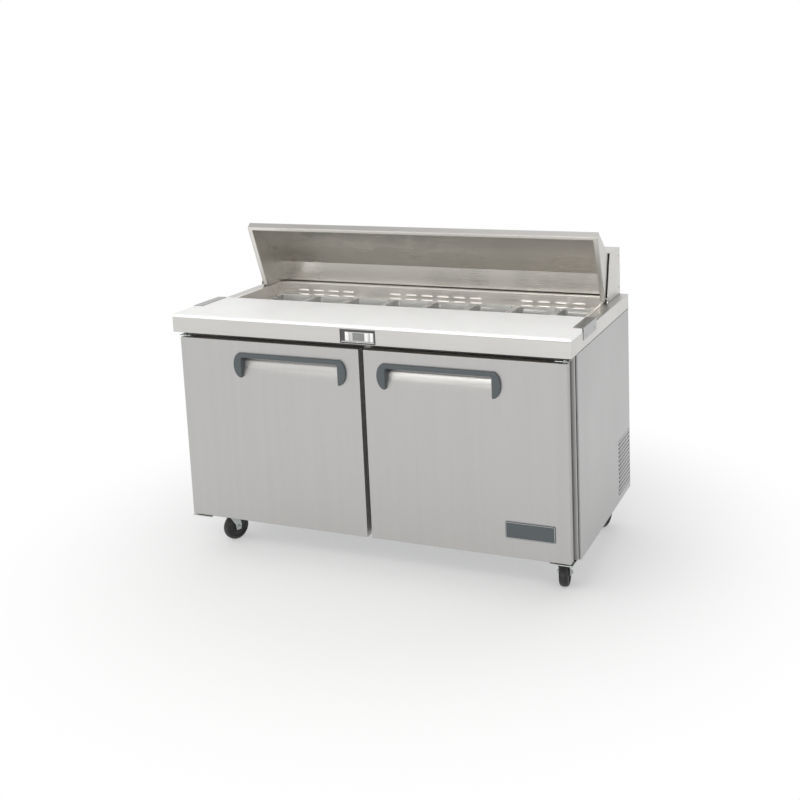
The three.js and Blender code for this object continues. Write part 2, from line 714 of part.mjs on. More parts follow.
function casterFork() {
  const { trail, r, wheelWidth } = CASTER;
  const leg = [[-24, 138], [30, 138], [trail + 13, r + 8], [trail + 10, r - 11],
    [trail - 10, r - 11], [trail - 14, r + 12]];
  const inner = wheelWidth / 2 + 2;
  const legs = [-1, 1].map((side) => alongX(leg, mirrored(side, [inner, inner + 3])));
  const bridge = box([-inner - 3, inner + 3], [-24, 30], [132, 138]);
  const swivel = rod('z', 29, [0, 0], [137, 146 - GAP], 16);
  const axle = rod('x', 5, [trail, r], [-inner - 5, inner + 5], 12);
  return joined([bridge, swivel, ...legs, axle]);
}

function casterWheel() {
  const { r, wheelWidth } = CASTER;
  const w = wheelWidth / 2;
  const bore = 5.8;
  const profile = [[bore, -w - 1], [14, -w - 1], [16, -w + 4], [36, -w + 4], [39, -w], [r - 5, -w],
    [r, -w + 7], [r, w - 7], [r - 5, w], [39, w], [36, w - 4], [16, w - 4], [14, w + 1],
    [bore, w + 1], [bore, -w - 1]];
  return turned(profile, 'x', 24);
}

casterPlaces().forEach(([x, y], k) => {
  const swivel = new THREE.Group();
  swivel.position.set(x, y, 0);
  swivel.rotation.z = THREE.MathUtils.degToRad(CASTER_TURN[k]);
  table.add(swivel);
  piece(`caster_fork_${CASTER_NAMES[k]}`, casterFork(), ZINC, swivel);
  const wheel = piece(`caster_wheel_${CASTER_NAMES[k]}`, casterWheel(), BLACK_RUBBER, swivel);
  wheel.position.set(0, CASTER.trail, CASTER.r);
});

table.position.y = -(DEPTH - DISPLAY.proud) / 2;

const part = new THREE.Group();
part.add(table);

export default part;
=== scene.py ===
"""Looks of a two-door refrigerated sandwich prep table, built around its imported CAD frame.

Lengths are metres, X runs to the right, Y to the back and Z up. Places come from the frame's
boxes and joints, and small sizes are given in millimetres times MM.
"""
import json
import math
import random

import bmesh
import bpy
from mathutils import Matrix, Vector


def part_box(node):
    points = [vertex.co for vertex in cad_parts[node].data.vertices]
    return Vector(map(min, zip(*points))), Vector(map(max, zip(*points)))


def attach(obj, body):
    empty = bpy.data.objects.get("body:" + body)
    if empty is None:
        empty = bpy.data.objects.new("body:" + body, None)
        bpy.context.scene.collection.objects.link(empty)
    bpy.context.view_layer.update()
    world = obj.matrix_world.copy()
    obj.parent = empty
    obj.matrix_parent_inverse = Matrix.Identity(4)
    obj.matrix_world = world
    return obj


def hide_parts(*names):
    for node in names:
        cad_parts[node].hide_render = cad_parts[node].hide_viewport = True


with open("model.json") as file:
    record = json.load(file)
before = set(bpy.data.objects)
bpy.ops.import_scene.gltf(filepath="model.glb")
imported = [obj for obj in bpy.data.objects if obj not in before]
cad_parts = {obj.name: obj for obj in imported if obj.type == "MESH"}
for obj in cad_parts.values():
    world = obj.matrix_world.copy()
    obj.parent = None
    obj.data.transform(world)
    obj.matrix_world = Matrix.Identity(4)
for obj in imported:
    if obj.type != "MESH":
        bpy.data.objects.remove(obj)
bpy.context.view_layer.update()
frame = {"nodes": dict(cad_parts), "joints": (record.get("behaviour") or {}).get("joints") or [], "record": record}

MM = 0.001
RECORD = frame["record"]
SLOT_OF = {part["node"]: part["material_slot"] for part in RECORD["subparts"]}
BODY_OF = {node: body for body, nodes in RECORD["behaviour"]["bodies"].items() for node in nodes}
JOINTS = {joint["name"]: joint for joint in frame["joints"]}
SIDES = {"left": -1, "right": 1}
X, Y, Z = Vector((1, 0, 0)), Vector((0, 1, 0)), Vector((0, 0, 1))

# The worktop's front face and top face.
WORKTOP_LOW, WORKTOP_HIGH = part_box("worktop_frame")
FRONT = WORKTOP_LOW.y
TOP = WORKTOP_HIGH.z

# ---------------------------------------------------------------- camera, light and floor

CAMERA_PLACE = (1.785, -3.7353, 1.834)
CAMERA_YAW, CAMERA_PITCH, CAMERA_ROLL = 21.491, 9.291, -1.880  # degrees
CAMERA_LENS = 50.69
CAMERA_SHIFT = (-0.10, -0.20)
BACKDROP = 1.0  # brightness of the world and of the far floor


def make_camera():
    """A camera at the front right of the table, a little above the worktop."""
    data = bpy.data.cameras.new("camera")
    data.lens = CAMERA_LENS
    data.shift_x, data.shift_y = CAMERA_SHIFT
    data.clip_end = 200
    camera = bpy.data.objects.new("camera", data)
    bpy.context.scene.collection.objects.link(camera)
    turn = Matrix.Rotation(math.radians(CAMERA_YAW), 4, "Z")
    tilt = Matrix.Rotation(math.radians(90 - CAMERA_PITCH), 4, "X")
    roll = Matrix.Rotation(math.radians(CAMERA_ROLL), 4, "Z")
    camera.matrix_world = Matrix.Translation(CAMERA_PLACE) @ turn @ tilt @ roll
    bpy.context.scene.camera = camera


def area_light(name, place, target, size, power, color=(1, 1, 1)):
    """A rectangular softbox at `place`, turned towards `target`."""
    data = bpy.data.lights.new(name, "AREA")
    data.shape = "RECTANGLE"
    data.size, data.size_y = size
    data.energy = power
    data.color = color
    light = bpy.data.objects.new(name, data)
    bpy.context.scene.collection.objects.link(light)
    light.location = place
    light.rotation_euler = (Vector(target) - Vector(place)).to_track_quat("-Z", "Y").to_euler()


def make_studio():
    """A white world that is dimmer to the right and overhead, and four softboxes."""
    world = bpy.data.worlds.new("studio")
    bpy.context.scene.world = world
    world.use_nodes = True
    tree = world.node_tree
    backdrop = tree.nodes["Background"]
    backdrop.inputs["Color"].default_value = (1, 1, 1, 1)
    split = tree.nodes.new("ShaderNodeSeparateXYZ")
    tree.links.new(tree.nodes.new("ShaderNodeTexCoord").outputs["Generated"], split.inputs[0])
    strength = tree.nodes.new("ShaderNodeMath")
    strength.operation = "MULTIPLY"
    # Each flag: the axis of the direction looked in, where it starts and ends, and its brightness.
    flags = (("X", 0.15, 0.80, 0.56), ("Z", 0.50, 0.95, 0.60))
    for slot, (axis, start, end, dim) in enumerate(flags):
        fade = tree.nodes.new("ShaderNodeMapRange")
        fade.interpolation_type = "SMOOTHSTEP"
        for socket, value in (("From Min", start), ("From Max", end), ("To Min", BACKDROP),
                              ("To Max", dim)):
            fade.inputs[socket].default_value = value
        tree.links.new(split.outputs[axis], fade.inputs["Value"])
        tree.links.new(fade.outputs["Result"], strength.inputs[slot])
    tree.links.new(strength.outputs["Value"], backdrop.inputs["Strength"])
    middle = (0, 0, 0.6)
    area_light("key_softbox", (-2.6, -3.4, 3.4), middle, (2.4, 1.6), 26, (1.0, 0.985, 0.96))
    area_light("fill_softbox", (3.6, -1.8, 2.2), middle, (2.0, 2.0), 8, (0.96, 0.98, 1.0))
    area_light("top_softbox", (0.2, 0.4, 4.2), middle, (3.0, 2.0), 12)
    area_light("rail_strip", (0.3, -2.2, 1.9), (0, 0.2, 0.95), (1.8, 0.3), 12, (1.0, 0.97, 0.92))
    bpy.context.scene.view_settings.view_transform = "Standard"


def make_floor():
    """White paper that takes soft shadows near the table and fades into the backdrop."""
    half = 40.0
    near, far_off = 0.7, 1.7
    bm = bmesh.new()
    bmesh.ops.create_grid(bm, x_segments=4, y_segments=4, size=half)
    mesh = bpy.data.meshes.new("floor")
    bm.to_mesh(mesh)
    bm.free()
    floor = bpy.data.objects.new("floor", mesh)
    bpy.context.scene.collection.objects.link(floor)
    look = bpy.data.materials.new("floor_paper")
    look.use_nodes = True
    tree = look.node_tree
    paper = tree.nodes["Principled BSDF"]
    paper.inputs["Base Color"].default_value = (0.9, 0.9, 0.9, 1)
    paper.inputs["Roughness"].default_value = 0.9
    paper.inputs["Specular IOR Level"].default_value = 0.1
    far = tree.nodes.new("ShaderNodeEmission")
    far.inputs["Strength"].default_value = BACKDROP
    place = tree.nodes.new("ShaderNodeTexCoord")
    length = tree.nodes.new("ShaderNodeVectorMath")
    length.operation = "LENGTH"
    fade = tree.nodes.new("ShaderNodeMapRange")
    fade.interpolation_type = "SMOOTHSTEP"
    fade.inputs["From Min"].default_value = near
    fade.inputs["From Max"].default_value = far_off
    fade.inputs["To Min"].default_value = 0.35
    mix = tree.nodes.new("ShaderNodeMixShader")
    tree.links.new(place.outputs["Object"], length.inputs[0])
    tree.links.new(length.outputs["Value"], fade.inputs["Value"])
    tree.links.new(fade.outputs["Result"], mix.inputs["Fac"])
    tree.links.new(paper.outputs["BSDF"], mix.inputs[1])
    tree.links.new(far.outputs["Emission"], mix.inputs[2])
    tree.links.new(mix.outputs["Shader"], tree.nodes["Material Output"].inputs["Surface"])
    mesh.materials.append(look)


make_camera()
make_studio()
make_floor()

# ---------------------------------------------------------------- material building blocks


class Look:
    """A Principled material, with fixed values on its sockets and patterns made from nodes."""

    def __init__(self, name, roughness, **fixed):
        self.material = bpy.data.materials.new(name)
        self.material.use_nodes = True
        self.tree = self.material.node_tree
        self.shader = self.tree.nodes["Principled BSDF"]
        self.shader.inputs["Roughness"].default_value = roughness
        for socket, value in fixed.items():
            self.shader.inputs[socket.replace("_", " ")].default_value = value
        self.place = self.tree.nodes.new("ShaderNodeTexCoord").outputs["Object"]

    def link(self, source, target):
        self.tree.links.new(source, target)

    def node(self, kind, values=None, **settings):
        made = self.tree.nodes.new(kind)
        for key, value in settings.items():
            setattr(made, key, value)
        for key, value in (values or {}).items():
            made.inputs[key].default_value = value
        return made

    def noise(self, per_metre, detail=3.0, rough=0.5):
        """Noise with its own number of features per metre along X, Y and Z."""
        if not isinstance(per_metre, tuple):
            per_metre = (per_metre,) * 3
        mapping = self.node("ShaderNodeMapping", {"Scale": per_metre})
        self.link(self.place, mapping.inputs["Vector"])
        made = self.node("ShaderNodeTexNoise", {"Scale": 1.0, "Detail": detail, "Roughness": rough})
        self.link(mapping.outputs["Vector"], made.inputs["Vector"])
        return made.outputs["Fac"]

    def spread(self, value, low, high, start=0.3, end=0.7):
        made = self.node("ShaderNodeMapRange", {"From Min": start, "From Max": end,
                                                "To Min": low, "To Max": high})
        self.link(value, made.inputs["Value"])
        return made.outputs["Result"]

    def mix(self, factor, first, second):
        """Colour `first` where factor is 0 and `second` where it is 1; each a colour or a socket."""
        made = self.node("ShaderNodeMix", data_type="RGBA")
        if isinstance(factor, float):
            made.inputs["Factor"].default_value = factor
        else:
            self.link(factor, made.inputs["Factor"])
        for slot, value in ((6, first), (7, second)):
            if isinstance(value, tuple):
                made.inputs[slot].default_value = (*value, 1)
            else:
                self.link(value, made.inputs[slot])
        return made.outputs[2]

    def math(self, operation, first, second):
        made = self.node("ShaderNodeMath", operation=operation)
        for slot, value in enumerate((first, second)):
            if isinstance(value, (int, float)):
                made.inputs[slot].default_value = value
            else:
                self.link(value, made.inputs[slot])
        return made.outputs["Value"]

    def edge_mask(self, radius, amount):
        """As high as `amount` along edges and 0 on flat faces, broken up by noise."""
        bevel = self.node("ShaderNodeBevel", {"Radius": radius}, samples=4)
        flat = self.node("ShaderNodeNewGeometry")
        turn = self.node("ShaderNodeVectorMath", operation="DOT_PRODUCT")
        self.link(bevel.outputs["Normal"], turn.inputs[0])
        self.link(flat.outputs["Normal"], turn.inputs[1])
        mask = self.spread(turn.outputs["Value"], amount, 0.0, 0.80, 0.97)
        return self.math("MULTIPLY", mask, self.spread(self.noise(90.0, 2.0), 0.25, 1.0))

    def bump(self, height, distance, strength=1.0):
        made = self.node("ShaderNodeBump", {"Distance": distance, "Strength": strength})
        self.link(height, made.inputs["Height"])
        self.link(made.outputs["Normal"], self.shader.inputs["Normal"])

    def color(self, source):
        self.link(source, self.shader.inputs["Base Color"])

    def roughness(self, source):
        self.link(source, self.shader.inputs["Roughness"])


def shade(color, factor):
    return tuple(min(1.0, channel * factor) for channel in color)


# Grain runs along one axis: features are long that way and fine across it.
GRAIN = {"x": (3.0, 700.0, 700.0), "y": (700.0, 3.0, 700.0), "z": (700.0, 700.0, 3.0)}
STREAK = {"x": (0.8, 45.0, 45.0), "y": (45.0, 0.8, 45.0), "z": (45.0, 45.0, 0.8)}


def brushed_steel(name, color, roughness, grain, gleam=0.5, cloud=0.04, metal=1.0):
    """Stainless sheet: hairline grain, soft streaks, faint handling smudges, and edges painted brighter, partly
    rubbed bright by use and partly as a painted highlight.
    """
    look = Look(name, roughness, Metallic=metal, Anisotropic=gleam,
                Anisotropic_Rotation=0.25 if grain == "x" else 0.0)
    hairline = look.noise(GRAIN[grain], 4.0, 0.65)
    streak = look.noise(STREAK[grain], 3.0, 0.6)
    smudge = look.noise(2.3, 4.0, 0.55)
    tone = look.math("ADD", look.math("MULTIPLY", streak, 0.45), look.math("MULTIPLY", smudge, 0.55))
    base = look.mix(look.spread(tone, 0.0, 1.0, 0.35, 0.65), shade(color, 1 - cloud),
                    shade(color, 1 + cloud))
    fine = look.mix(look.spread(hairline, 0.0, 1.0), shade(color, 0.93), shade(color, 1.04))
    half = look.mix(0.35, base, fine)
    # Edges painted brighter: partly rubbed bright by use, partly a painted highlight standing in for light on
    # rounded edges.
    worn_and_highlit = look.mix(look.edge_mask(1.6 * MM, 0.5), half, shade(color, 1.14))
    look.color(worn_and_highlit)
    grainy = look.spread(hairline, -0.05, 0.05)
    greasy = look.spread(smudge, roughness - 0.05, roughness + 0.06, 0.35, 0.65)
    look.roughness(look.math("ADD", grainy, greasy))
    look.bump(hairline, 0.04 * MM, 0.3)
    return look.material


def galvanised(name, color):
    """Zinc-dipped sheet with a faint crystal spangle."""
    look = Look(name, 0.45, Metallic=0.9)
    cells = look.node("ShaderNodeTexVoronoi", {"Scale": 70.0})
    look.link(look.place, cells.inputs["Vector"])
    grey = look.node("ShaderNodeRGBToBW")
    look.link(cells.outputs["Color"], grey.inputs["Color"])
    look.color(look.mix(look.spread(grey.outputs["Val"], 0.0, 1.0, 0.1, 0.9), shade(color, 0.94),
                        shade(color, 1.05)))
    look.roughness(look.spread(grey.outputs["Val"], 0.36, 0.55, 0.1, 0.9))
    look.bump(look.noise(160.0, 3.0), 0.1 * MM, 0.3)
    return look.material


def zinc_plated(name, color):
    """Pressed steel with bright zinc plate, duller and whiter in patches."""
    look = Look(name, 0.34, Metallic=1.0)
    patch = look.noise(55.0, 4.0, 0.6)
    base = look.mix(look.spread(patch, 0.0, 1.0), shade(color, 0.82), shade(color, 1.1))
    # Edges painted whiter: partly rubbed by use, partly a painted highlight standing in for light on rounded
    # edges.
    look.color(look.mix(look.edge_mask(1.2 * MM, 0.6), base, shade(color, 1.25)))
    look.roughness(look.spread(patch, 0.26, 0.48))
    look.bump(look.noise(400.0, 2.0), 0.06 * MM, 0.4)
    return look.material


def moulded_plastic(name, color, roughness, grit=500.0, wear_and_highlight=0.35, dust=0.06):
    """Moulded plastic with a fine spark-eroded texture, slight fading, and edges painted lighter, partly scuffed
    by use and partly as a painted highlight.
    """
    look = Look(name, roughness, IOR=1.5)
    fade = look.noise(6.0, 3.0, 0.55)
    grain = look.noise(grit, 2.0)
    base = look.mix(look.spread(fade, 0.0, 1.0), shade(color, 1 - dust), shade(color, 1 + dust))
    speck = look.mix(look.spread(grain, 0.0, 0.35, 0.55, 0.75), base, shade(color, 1.15))
    # Edges painted lighter: partly scuffed by use, partly a painted highlight standing in for light on rounded
    # edges.
    look.color(look.mix(look.edge_mask(2.0 * MM, wear_and_highlight), speck, shade(color, 1.6)))
    look.roughness(look.spread(grain, roughness - 0.08, roughness + 0.08))
    look.bump(grain, 0.12 * MM, 0.45)
    return look.material


def cutting_board(name, color):
    """Polyethylene board with a soft sheen and crossing hairline knife marks."""
    look = Look(name, 0.5, IOR=1.52, Subsurface_Weight=0.08, Subsurface_Scale=0.01)
    marks = None
    for turn, width, reach in ((0.18, 420.0, 5.0), (-0.32, 520.0, 7.0), (1.35, 460.0, 6.0)):
        mapping = look.node("ShaderNodeMapping", {"Rotation": (0, 0, turn)})
        look.link(look.place, mapping.inputs["Vector"])
        scale = look.node("ShaderNodeMapping", {"Scale": (reach, width, 20.0)})
        look.link(mapping.outputs["Vector"], scale.inputs["Vector"])
        lines = look.node("ShaderNodeTexNoise", {"Scale": 1.0, "Detail": 2.0})
        look.link(scale.outputs["Vector"], lines.inputs["Vector"])
        one = look.spread(lines.outputs["Fac"], 0.0, 1.0, 0.66, 0.74)
        marks = one if marks is None else look.math("MAXIMUM", marks, one)
    used = look.spread(look.noise(3.0, 3.0), 0.1, 0.8, 0.4, 0.6)
    marks = look.math("MULTIPLY", marks, used)
    cloud = look.spread(look.noise(5.0, 4.0), 0.0, 1.0)
    base = look.mix(cloud, shade(color, 0.985), shade(color, 1.015))
    look.color(look.mix(look.math("MULTIPLY", marks, 0.3), base, shade(color, 0.86)))
    look.roughness(look.spread(look.noise(14.0, 3.0), 0.42, 0.58))
    look.bump(look.math("SUBTRACT", 1.0, marks), 0.15 * MM, 0.35)
    return look.material


def rubber(name, color, roughness, dust_color, dust_amount):
    """Rubber with pale dust lying in its low, noisy patches."""
    look = Look(name, roughness, IOR=1.5)
    dust = look.spread(look.noise(38.0, 5.0, 0.65), 0.0, dust_amount, 0.45, 0.75)
    look.color(look.mix(dust, color, dust_color))
    look.roughness(look.spread(look.noise(220.0, 2.0), roughness - 0.08, roughness + 0.1))
    look.bump(look.noise(650.0, 2.0), 0.15 * MM, 0.4)
    return look.material


def painted(name, color, roughness):
    """Sprayed or dipped coat with orange peel and small chips along the edges."""
    look = Look(name, roughness, Coat_Weight=0.2, Coat_Roughness=0.25)
    tone = look.spread(look.noise(12.0, 3.0), 0.0, 1.0)
    base = look.mix(tone, shade(color, 0.94), shade(color, 1.06))
    look.color(look.mix(look.edge_mask(1.0 * MM, 0.3), base, (0.45, 0.44, 0.42)))
    look.roughness(look.spread(look.noise(30.0, 2.0), roughness - 0.07, roughness + 0.1))
    look.bump(look.noise(320.0, 2.0), 0.2 * MM, 0.25)
    return look.material


def clear_polycarbonate(name):
    """Clear food pan: slightly smoky, with faint haze from washing; its pale, half-diffuse body stands in for
    light seen through the pans: painted light.
    """
    look = Look(name, 0.1, Transmission_Weight=0.55, IOR=1.58)
    haze = look.noise(26.0, 4.0, 0.6)
    # The pale body colour with low transmission is painted light, brightening pans that the well's shade leaves
    # dark.
    look.color(look.mix(look.spread(haze, 0.0, 1.0), (0.80, 0.80, 0.78), (0.88, 0.88, 0.86)))
    look.roughness(look.spread(haze, 0.05, 0.22))
    look.bump(look.noise(90.0, 2.0), 0.08 * MM, 0.3)
    return look.material


LOOKS = {
    "worktop_steel": brushed_steel("worktop_steel", (0.60, 0.59, 0.57), 0.36, "x"),
    # Paler and less metallic than the outer steel, standing in for the light and reflections inside the lid:
    # painted light.
    "liner_steel": brushed_steel("liner_steel", (0.72, 0.70, 0.66), 0.30, "x", metal=0.85),
    "door_steel": brushed_steel("door_steel", (0.51, 0.505, 0.495), 0.40, "z"),
    # Set a little darker than the door steel so the table's right side reads as in shade: painted shade.
    "side_steel": brushed_steel("side_steel", (0.495, 0.495, 0.492), 0.42, "z"),
    "galvanised_steel": galvanised("galvanised_steel", (0.50, 0.51, 0.51)),
    "zinc_plate": zinc_plated("zinc_plate", (0.56, 0.60, 0.58)),
    "coated_wire": painted("coated_wire", (0.80, 0.81, 0.80), 0.38),
    "cutting_board_white": cutting_board("cutting_board_white", (0.93, 0.93, 0.92)),
    "handle_plastic": moulded_plastic("handle_plastic", (0.070, 0.083, 0.090), 0.50),
    "bezel_plastic": moulded_plastic("bezel_plastic", (0.060, 0.060, 0.060), 0.45),
    "key_plastic": moulded_plastic("key_plastic", (0.78, 0.78, 0.77), 0.30, grit=700.0, wear_and_highlight=0.1,
                                   dust=0.03),
    "door_liner_plastic": moulded_plastic("door_liner_plastic", (0.76, 0.76, 0.74), 0.4, grit=260.0,
                                          wear_and_highlight=0.1, dust=0.03),
    "gasket_rubber": rubber("gasket_rubber", (0.016, 0.015, 0.014), 0.55, (0.10, 0.095, 0.09), 0.4),
    "wheel_rubber": rubber("wheel_rubber", (0.012, 0.012, 0.012), 0.5, (0.16, 0.15, 0.14), 0.35),
    "black_enamel": painted("black_enamel", (0.018, 0.018, 0.020), 0.32),
    "fin_aluminium": brushed_steel("fin_aluminium", (0.62, 0.62, 0.62), 0.38, "y", gleam=0.2,
                                   cloud=0.08),
    "clear_pan": clear_polycarbonate("clear_pan"),
}

# ---------------------------------------------------------------- mesh building blocks

SMOOTH_ANGLE = math.radians(38)
SHARP_ANGLE = math.radians(33)


def piece(name, bm, body, slot, stands_for=(), look=None):
    """An object from a bmesh that rides on a body, wears a slot's look and replaces CAD nodes."""
    bmesh.ops.recalc_face_normals(bm, faces=bm.faces)
    mesh = bpy.data.meshes.new(name)
    bm.to_mesh(mesh)
    bm.free()
    made = bpy.data.objects.new(name, mesh)
    bpy.context.scene.collection.objects.link(made)
    mesh.materials.append(look or LOOKS[slot])
    mesh.shade_smooth()
    mesh.set_sharp_from_angle(angle=SMOOTH_ANGLE)
    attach(made, body)
    if stands_for:
        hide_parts(*stands_for)
    return made


def room_beside(edge, face):
    """How wide a face is, measured away from one of its edges."""
    return face.calc_area() / edge.calc_length()


def soften(bm, outer, fine):
    """Writes a bevel weight on each sharp edge, as wide as its faces and neighbours allow."""
    weights = bm.edges.layers.float.get("bevel_weight_edge")
    weights = weights or bm.edges.layers.float.new("bevel_weight_edge")
    for edge in bm.edges:
        if len(edge.link_faces) != 2 or edge.calc_face_angle(0.0) < SHARP_ANGLE:
            continue
        along = (edge.verts[1].co - edge.verts[0].co).normalized()
        width = outer if edge.is_convex else fine
        width = min([width] + [0.4 * room_beside(edge, face) for face in edge.link_faces])
        for vert in edge.verts:
            for other in vert.link_edges:
                if other is edge:
                    continue
                reach = other.other_vert(vert).co - vert.co
                if reach.length > 1e-6 and abs(reach.normalized().dot(along)) < 0.9:
                    width = min(width, 0.42 * reach.length)
        edge[weights] = width / outer


def bevelled(made, outer):
    """Rounds the weighted edges of an object and keeps its flat faces flat."""
    bevel = made.modifiers.new("bevel", "BEVEL")
    bevel.limit_method = "WEIGHT"
    bevel.width = outer
    bevel.segments = 3
    bevel.use_clamp_overlap = False
    bevel.miter_outer = "MITER_ARC"
    flat = made.modifiers.new("flat_faces", "WEIGHTED_NORMAL")
    flat.keep_sharp = True
    flat.weight = 100


def refined(node, outer=1.6, fine=0.4, look=None):
    """A copy of a CAD node with merged flat faces and rounded edges, which stands for it.

    `outer` rounds its convex edges and `fine` its hollow ones, both in millimetres.
    """
    bm = bmesh.new()
    bm.from_mesh(frame["nodes"][node].data)
    bmesh.ops.remove_doubles(bm, verts=bm.verts, dist=0.02 * MM)
    bmesh.ops.dissolve_limit(bm, angle_limit=math.radians(0.8), verts=bm.verts, edges=bm.edges)
    bmesh.ops.recalc_face_normals(bm, faces=bm.faces)
    # A face that goes round a hole is cut into convex parts, or the bevel would close the hole.
    bmesh.ops.connect_verts_concave(bm, faces=bm.faces)
    soften(bm, outer * MM, fine * MM)
    made = piece(node + "_formed", bm, BODY_OF[node], SLOT_OF[node], (node,), look)
    bevelled(made, outer * MM)


def loft(bm, rings, caps=True):
    """Joins rings of points with quads, and with `caps` closes the first and last with a face."""
    rows = [[bm.verts.new(point) for point in ring] for ring in rings]
    count = len(rows[0])
    for low, high in zip(rows, rows[1:]):
        for k in range(count):
            nxt = (k + 1) % count
            bm.faces.new((low[k], low[nxt], high[nxt], high[k]))
    if caps:
        bm.faces.new(rows[0][::-1])
        bm.faces.new(rows[-1])


def basis(axis):
    """A rotation that takes Z onto the given direction."""
    return Vector(axis).to_track_quat("Z", "Y").to_matrix().to_4x4()


def lathe(bm, profile, place, axis, steps=32):
    """Turns (radius, along) points round an axis through `place`; ends on the axis are closed."""
    spot = Matrix.Translation(place) @ basis(axis)
    rings = []
    for radius, along in profile:
        radius = max(radius, 1e-5)
        ring = []
        for k in range(steps):
            angle = 2 * math.pi * k / steps
            ring.append(spot @ Vector((radius * math.cos(angle), radius * math.sin(angle), along)))
        rings.append(ring)
    loft(bm, rings)


def lathe_ring(bm, profile, place, axis, steps):
    """A turned ring whose profile closes on itself."""
    spot = Matrix.Translation(place) @ basis(axis)
    rings = []
    for k in range(steps + 1):
        angle = 2 * math.pi * k / steps
        rings.append([spot @ Vector((r * math.cos(angle), r * math.sin(angle), a))
                      for r, a in profile[:-1]])
    loft(bm, rings, caps=False)
    bmesh.ops.remove_doubles(bm, verts=bm.verts, dist=0.005 * MM)


def in_mm(profile):
    """A profile of (radius, along) points given in millimetres."""
    return [(radius * MM, along * MM) for radius, along in profile]


def rod(bm, start, end, radius, steps=10):
    """A round bar with chamfered ends."""
    start, end = Vector(start), Vector(end)
    span = (end - start).length
    chamfer = min(radius * 0.35, span * 0.2)
    profile = [(0, 0), (radius - chamfer, 0), (radius, chamfer), (radius, span - chamfer),
               (radius - chamfer, span), (0, span)]
    lathe(bm, profile, start, end - start, steps)


def block(bm, low, high, bevel=0.6, segments=2):
    """A box with rounded edges, added to a bmesh."""
    low, high = Vector(low), Vector(high)
    made = bmesh.ops.create_cube(bm, size=1.0)
    size = high - low
    middle = (high + low) / 2
    for vert in made["verts"]:
        vert.co = Vector([vert.co[k] * abs(size[k]) for k in range(3)]) + middle
    edges = {edge for vert in made["verts"] for edge in vert.link_edges}
    width = min(bevel * MM, 0.4 * min(abs(v) for v in size))
    bmesh.ops.bevel(bm, geom=list(edges), offset=width, segments=segments, profile=0.5,
                    affect="EDGES", clamp_overlap=True)


def plate(bm, outline, start, end, axis="y"):
    """An outline in the plane across an axis, pushed along that axis from start to end."""
    place = {"x": lambda u, v, w: (w, u, v), "y": lambda u, v, w: (u, w, v)}[axis]
    loft(bm, [[place(u, v, w) for u, v in outline] for w in (start, end)])


def arc(centre, radius, start, end, steps):
    """Points on an arc in a plane, angles in degrees; radius may be a (u, v) pair."""
    ru, rv = radius if isinstance(radius, tuple) else (radius, radius)
    points = []
    for k in range(steps + 1):
        angle = math.radians(start + (end - start) * k / steps)
        points.append((centre[0] + ru * math.cos(angle), centre[1] + rv * math.sin(angle)))
    return points


def rounded_rectangle(half_x, half_y, radius):
    """Points round a rectangle about the origin, with arcs at its corners."""
    points = []
    for sx, sy, start in ((1, 1, 0), (-1, 1, 90), (-1, -1, 180), (1, -1, 270)):
        centre = (sx * (half_x - radius), sy * (half_y - radius))
        points += arc(centre, radius, start, start + 90, 5)
    return points


def cross_recess(turn, steps):
    """Points round a cross-shaped recess, for a screw head of radius 1."""
    quarter = steps // 4
    half_arm = 0.28
    points = []
    for k in range(steps):
        beside = {1: 1, quarter - 1: -1}.get(k % quarter, 0)
        reach = 0.44 if beside or k % quarter == 0 else 0.15
        angle = turn + 2 * math.pi * (k - beside) / steps + beside * half_arm
        points.append((reach * math.cos(angle), reach * math.sin(angle)))
    return points


def screws(name, places, axis, radius, body):
    """Pan-head screws with a cross recess, standing on a surface whose outward normal is axis."""
    r = radius * MM
    steps = 24
    bm = bmesh.new()
    turns = random.Random(name)
    for place in places:
        spot = Matrix.Translation(place) @ basis(axis)
        rings = []
        for share, height in ((1.0, 0.0), (1.0, 0.18), (0.93, 0.38), (0.78, 0.52), (0.55, 0.6)):
            rings.append([spot @ Vector((share * r * math.cos(a), share * r * math.sin(a), height * r))
                          for a in (2 * math.pi * k / steps for k in range(steps))])
        cross = cross_recess(turns.uniform(0, math.pi / 2), steps)
        for share, height in ((1.0, 0.62), (0.9, 0.3)):
            rings.append([spot @ Vector((share * u * r, share * v * r, height * r))
                          for u, v in cross])
        loft(bm, rings)
    piece(name, bm, body, "zinc_plate")


# ---------------------------------------------------------------- worktop, well and board

CLIP_LOOK = brushed_steel("clip_steel", (0.46, 0.465, 0.46), 0.38, "y")
# Paler and less metallic than the worktop steel, standing in for light in the shaded well: painted light.
LIT_WELL_LOOK = brushed_steel("well_steel_painted_light", (0.84, 0.81, 0.77), 0.32, "x", metal=0.6)

refined("worktop_frame", outer=2.4)
for side in SIDES:
    refined(f"board_clip_{side}", outer=0.7, fine=0.2, look=CLIP_LOOK)
refined("cutting_board", outer=2.0, fine=0.8)
refined("pan_well", outer=1.0, fine=0.5, look=LIT_WELL_LOOK)

WELL_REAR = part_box("pan_well")[1].y - 13 * MM  # the rear wall's inner face, in from the flange


def louvre(bm, centre, out, up, length, height, depth):
    """A pressed louvre: a rounded blister along `out x up`, open underneath, with closed ends."""
    along = out.cross(up)
    steps = 10
    section = [(0.0, 1.0), (0.45, 0.86), (0.8, 0.58), (1.0, 0.18), (1.0, 0.0), (0.86, 0.0),
               (0.84, 0.16), (0.66, 0.48), (0.35, 0.72), (0.0, 0.82)]
    rings = []
    for k in range(steps + 1):
        share = 2 * k / steps - 1
        swell = max(0.06, (1 - abs(share) ** 4)) ** 0.5
        ring = []
        for proud, rise in section:
            ring.append(Vector(centre) + along * (share * length / 2)
                        + out * (proud * depth * swell) + up * (rise * height * (0.5 + 0.5 * swell)))
        rings.append(ring)
    loft(bm, rings)


